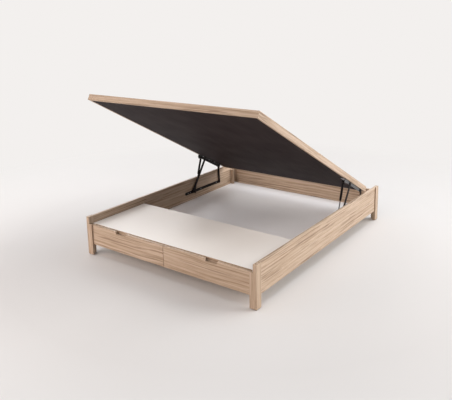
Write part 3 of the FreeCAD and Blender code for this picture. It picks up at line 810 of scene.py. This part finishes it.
class BED_OT_cover(Operator):
    """Stretch the fabric cover in the lid's rim, with its sewn tape"""

    bl_idname = "bed.cover"
    bl_label = "Lid cover"

    GRID = (56, 70)
    THICKNESS = 2.4 * MILLIMETRE
    EDGE_POWER = 6
    TAPE_MARGIN = 4.0 * MILLIMETRE
    TAPE_CUTS = 60
    STITCH_WIDTH = 1.1 * MILLIMETRE
    STITCH_HEIGHT = 0.7 * MILLIMETRE
    STITCH_EASE = 0.3 * MILLIMETRE
    ROW_INSET = 0.2
    KNIT_CELL = 6.0 * MILLIMETRE
    WEAVE_CELL = 2.2 * MILLIMETRE
    THREAD_CELL = 1.6 * MILLIMETRE

    def execute(self, context):
        sizes = context.scene.bed_sizes
        tones = context.scene.bed_colours
        low, high = solids_of("lid_top_cover", LID)[0]
        half = (high - low) / 2
        cover = self.fabric(half, sizes, tones)
        tape = self.tape(half, sizes, tones)
        stitches = self.stitches(half, sizes, tones)
        for piece in (cover, tape, stitches):
            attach(piece, "lid")
        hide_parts("lid_top_cover")
        return {"FINISHED"}

    def level(self, x, y, half, sizes):
        """Height of the stretched fabric over the lid's top face."""
        share_x, share_y = min(1.0, abs(x) / half.x), min(1.0, abs(y) / half.y)
        swell = (1.0 - share_x ** self.EDGE_POWER) * (1.0 - share_y ** self.EDGE_POWER)
        return (sizes.cover_crown + sizes.cover_sink) * swell - sizes.cover_sink

    def lay(self, shape, half, sizes, thickness):
        """Lays a flat shape on the fabric's level and gives it a thickness."""
        for vertex in shape.verts:
            vertex.co.z = self.level(vertex.co.x, vertex.co.y, half, sizes)
        bmesh.ops.solidify(shape, geom=shape.faces[:], thickness=thickness)
        bmesh.ops.recalc_face_normals(shape, faces=shape.faces)
        shape.transform(LID)

    def fabric(self, half, sizes, tones):
        """Knitted sheet that fills the opening inside the lid's rim."""
        shape = bmesh.new()
        bmesh.ops.create_grid(shape, x_segments=self.GRID[0], y_segments=self.GRID[1], size=1.0)
        bmesh.ops.scale(shape, verts=shape.verts, vec=(half.x, half.y, 1.0))
        self.lay(shape, half, sizes, self.THICKNESS)
        finish = cover_finish("open_knit", tones.cover, self.KNIT_CELL)
        return finished_object("mattress_cover", shape, finish)

    def tape(self, half, sizes, tones):
        """Flat woven tape sewn round the cover's edge."""
        shape = bmesh.new()
        bmesh.ops.create_grid(shape, x_segments=1, y_segments=1, size=1.0)
        outer = (half.x - self.TAPE_MARGIN, half.y - self.TAPE_MARGIN, 1.0)
        bmesh.ops.scale(shape, verts=shape.verts, vec=outer)
        middle = shape.faces[:]
        bmesh.ops.inset_region(
            shape, faces=middle, thickness=sizes.tape_width, use_boundary=True, use_even_offset=True,
        )
        bmesh.ops.delete(shape, geom=middle, context="FACES")
        runs = [edge for edge in shape.edges if edge.calc_length() > half.x]
        bmesh.ops.subdivide_edges(shape, edges=runs, cuts=self.TAPE_CUTS, use_grid_fill=True)
        self.lay(shape, half, sizes, -sizes.tape_height)
        finish = cover_finish("woven_tape", tones.tape, self.WEAVE_CELL)
        return finished_object("cover_tape", shape, finish)

    def stitch(self, sizes):
        """Mesh of one stitch with eased edges, at the origin along X."""
        shape = bmesh.new()
        bmesh.ops.create_cube(shape, size=1.0)
        extent = (sizes.stitch_length, self.STITCH_WIDTH, self.STITCH_HEIGHT)
        bmesh.ops.scale(shape, verts=shape.verts, vec=extent)
        bmesh.ops.bevel(
            shape, geom=shape.edges[:], offset=self.STITCH_EASE, segments=1, profile=0.5,
            affect="EDGES", material=-1,
        )
        mesh = bpy.data.meshes.new("stitch")
        shape.to_mesh(mesh)
        shape.free()
        return mesh

    def stitches(self, half, sizes, tones):
        """Two rows of stitches along the tape on each side of the lid."""
        mesh = self.stitch(sizes)
        rows = bmesh.new()
        inset = sizes.tape_width * self.ROW_INSET
        for margin in (self.TAPE_MARGIN + inset, self.TAPE_MARGIN + sizes.tape_width - inset):
            reach = Vector((half.x - margin, half.y - margin))
            for turn in range(4):
                run, out = (reach.x, reach.y) if turn % 2 == 0 else (reach.y, reach.x)
                count = int(2 * run / sizes.stitch_pitch)
                spin = Matrix.Rotation(math.radians(90.0) * turn, 4, "Z")
                for number in range(count):
                    along = -run + (number + 0.5) * 2 * run / count
                    flat = spin @ Vector((along, -out, 0.0))
                    height = self.level(flat.x, flat.y, half, sizes) + sizes.tape_height
                    place = Matrix.Translation(Vector((flat.x, flat.y, height)))
                    first = len(rows.verts)
                    rows.from_mesh(mesh)
                    rows.verts.ensure_lookup_table()
                    bmesh.ops.transform(rows, matrix=place @ spin, verts=rows.verts[first:])
        bpy.data.meshes.remove(mesh)
        rows.transform(LID)
        pale = [min(1.0, value * 1.25) for value in tones.cover]
        finish = cover_finish("sewing_thread", pale, self.THREAD_CELL)
        return finished_object("cover_stitches", rows, finish)


class BED_OT_stage(Operator):
    """Set the pale floor, the soft lights, the surroundings and the camera"""

    bl_idname = "bed.stage"
    bl_label = "Stage"

    PLAIN = (1.0, 1.0, 1.0)
    FLOOR_RADIUS = 40.0
    FLOOR_DROP = 0.5 * MILLIMETRE
    AIM = Vector((0.2, 0.2, 0.3))
    SUN_SPREAD = math.radians(45.0)
    BOX_DISTANCE = 5.2
    BOX_SIZE = 2.8
    FADE_START = 1.9
    FADE_END = 3.6
    SENSOR_WIDTH = 36.0

    def execute(self, context):
        stage = context.scene.bed_stage
        context.scene.view_settings.view_transform = "Standard"
        self.floor(stage)
        self.surroundings(context.scene, stage)
        self.wide_sun("right_rear_sun", bearing=45.0, rise=14.0, strength=2.82)
        self.wide_sun("left_rear_sun", bearing=135.0, rise=14.0, strength=0.79)
        self.wide_sun("front_sun", bearing=270.0, rise=38.0, strength=1.1, tint=stage.warm)
        self.wide_sun("top_sun", bearing=0.0, rise=89.0, strength=1.1, tint=stage.cool)
        self.soft_box("right_soft_box", bearing=20.0, rise=32.0, power=100.0)
        self.soft_box("rear_soft_box", bearing=70.0, rise=52.0, power=78.0, tint=stage.cool)
        self.soft_box("left_soft_box", bearing=180.0, rise=30.0, power=56.0, tint=stage.cool)
        self.soft_box("front_left_soft_box", bearing=230.0, rise=12.0, power=108.0, tint=stage.warm)
        self.camera(context.scene, stage)
        return {"FINISHED"}

    def floor(self, stage):
        shape = bmesh.new()
        bmesh.ops.create_circle(shape, cap_ends=True, segments=96, radius=self.FLOOR_RADIUS)
        bmesh.ops.translate(shape, verts=shape.verts, vec=(0.0, 0.0, -self.FLOOR_DROP))
        material, tree, shader = new_finish("pale_floor", Roughness=0.85, Specular_IOR_Level=0.08)
        point = placed(tree)
        cloud = noise(tree, point, scale=0.8, detail=3.0)
        shade = [value * 0.98 for value in stage.floor]
        clouded = blended(tree, cloud, opaque(shade), opaque(stage.floor))
        tree.links.new(clouded, shader.inputs["Base Color"])
        far = node(tree, "VectorMath", {0: point}, operation="LENGTH").outputs["Value"]
        glow = node(tree, "Emission", {"Color": opaque(stage.backdrop), "Strength": 1.0})
        seen = self.seen_ray(tree)
        fade = remapped(tree, far, self.FADE_START, self.FADE_END)
        share = node(tree, "Math", {0: fade, 1: seen}, operation="MULTIPLY")
        mixed = node(tree, "MixShader", {
            0: share.outputs["Value"], 1: shader.outputs["BSDF"], 2: glow.outputs["Emission"],
        })
        output = next(item for item in tree.nodes if item.type == "OUTPUT_MATERIAL")
        tree.links.new(mixed.outputs["Shader"], output.inputs["Surface"])
        finished_object("studio_floor", shape, material)

    def seen_ray(self, tree):
        """1 for rays from the camera and those that gloss or glass sends on, else 0."""
        path = node(tree, "LightPath")
        either = node(tree, "Math", {
            0: path.outputs["Is Camera Ray"], 1: path.outputs["Is Glossy Ray"],
        }, operation="MAXIMUM")
        return node(tree, "Math", {
            0: either.outputs["Value"], 1: path.outputs["Is Transmission Ray"],
        }, operation="MAXIMUM").outputs["Value"]

    def surroundings(self, scene, stage):
        world = bpy.data.worlds.new("studio")
        world.use_nodes = True
        tree = world.node_tree
        tree.nodes.clear()
        shown = node(tree, "Background", {"Color": opaque(stage.backdrop), "Strength": self.seen_ray(tree)})
        node(tree, "OutputWorld", {"Surface": shown.outputs["Background"]})
        scene.world = world

    def light(self, kind, name, bearing, rise, strength, tint):
        """Light aimed at the bed from a bearing off its right side and a rise over the floor (degrees)."""
        light = bpy.data.lights.new(name, kind)
        light.energy = strength * bpy.context.scene.bed_stage.light_level
        light.color = tint
        turn, lift = math.radians(bearing), math.radians(rise)
        out = Vector((math.cos(turn) * math.cos(lift), math.sin(turn) * math.cos(lift), math.sin(lift)))
        made = bpy.data.objects.new(name, light)
        made.location = self.AIM + out * self.BOX_DISTANCE
        made.rotation_euler = (-out).to_track_quat("-Z", "Y").to_euler()
        made.visible_camera = False
        bpy.context.scene.collection.objects.link(made)
        return light

    def wide_sun(self, name, bearing, rise, strength, tint=PLAIN):
        """Soft light that is even over the whole floor."""
        self.light("SUN", name, bearing, rise, strength, tint).angle = self.SUN_SPREAD

    def soft_box(self, name, bearing, rise, power, tint=PLAIN):
        """Square light near the bed, which falls off over its length."""
        light = self.light("AREA", name, bearing, rise, power, tint)
        light.shape = "SQUARE"
        light.size = self.BOX_SIZE

    def camera(self, scene, stage):
        heading, pitch = stage.camera_heading, stage.camera_pitch
        forward = Vector((
            math.sin(heading) * math.cos(pitch), math.cos(heading) * math.cos(pitch), -math.sin(pitch),
        ))
        right = forward.cross(Vector((0.0, 0.0, 1.0))).normalized()
        up = right.cross(forward)
        turn = Matrix((right, up, -forward)).transposed()
        data = bpy.data.cameras.new("view")
        data.lens = stage.camera_lens
        data.sensor_width = self.SENSOR_WIDTH
        data.shift_y = stage.camera_shift
        data.dof.use_dof = False
        made = bpy.data.objects.new("view", data)
        lean = Matrix.Rotation(stage.camera_roll, 3, "Z")
        made.matrix_world = Matrix.Translation(stage.camera_place) @ (turn @ lean).to_4x4()
        scene.collection.objects.link(made)
        scene.camera = made


class BED_PT_panel(Panel):
    """Steps that finish the bed base"""

    bl_idname = "BED_PT_panel"
    bl_label = "Lift-up bed base"
    bl_space_type = "VIEW_3D"
    bl_region_type = "UI"
    bl_category = "Bed"

    def draw(self, context):
        for step in STEPS:
            self.layout.operator(step.bl_idname)
        for name in GROUPS:
            group = getattr(context.scene, name)
            for key in group.__annotations__:
                self.layout.prop(group, key)


STEPS = (
    BED_OT_oak_boards,
    BED_OT_plain_boards,
    BED_OT_hardware,
    BED_OT_pivot_pins,
    BED_OT_screws,
    BED_OT_gas_springs,
    BED_OT_cover,
    BED_OT_stage,
)
GROUPS = {"bed_colours": BedColours, "bed_sizes": BedSizes, "bed_stage": BedStage}


def register():
    for group in (*GROUPS.values(), *STEPS, BED_PT_panel):
        bpy.utils.register_class(group)
    for name, group in GROUPS.items():
        setattr(bpy.types.Scene, name, PointerProperty(type=group))


def unregister():
    for name in GROUPS:
        delattr(bpy.types.Scene, name)
    for group in reversed((*GROUPS.values(), *STEPS, BED_PT_panel)):
        bpy.utils.unregister_class(group)


def main():
    register()
    bpy.ops.bed.oak_boards()
    bpy.ops.bed.plain_boards()
    bpy.ops.bed.hardware()
    bpy.ops.bed.pivot_pins()
    bpy.ops.bed.screws()
    bpy.ops.bed.gas_springs()
    bpy.ops.bed.cover()
    bpy.ops.bed.stage()


if __name__ == "__main__":
    main()
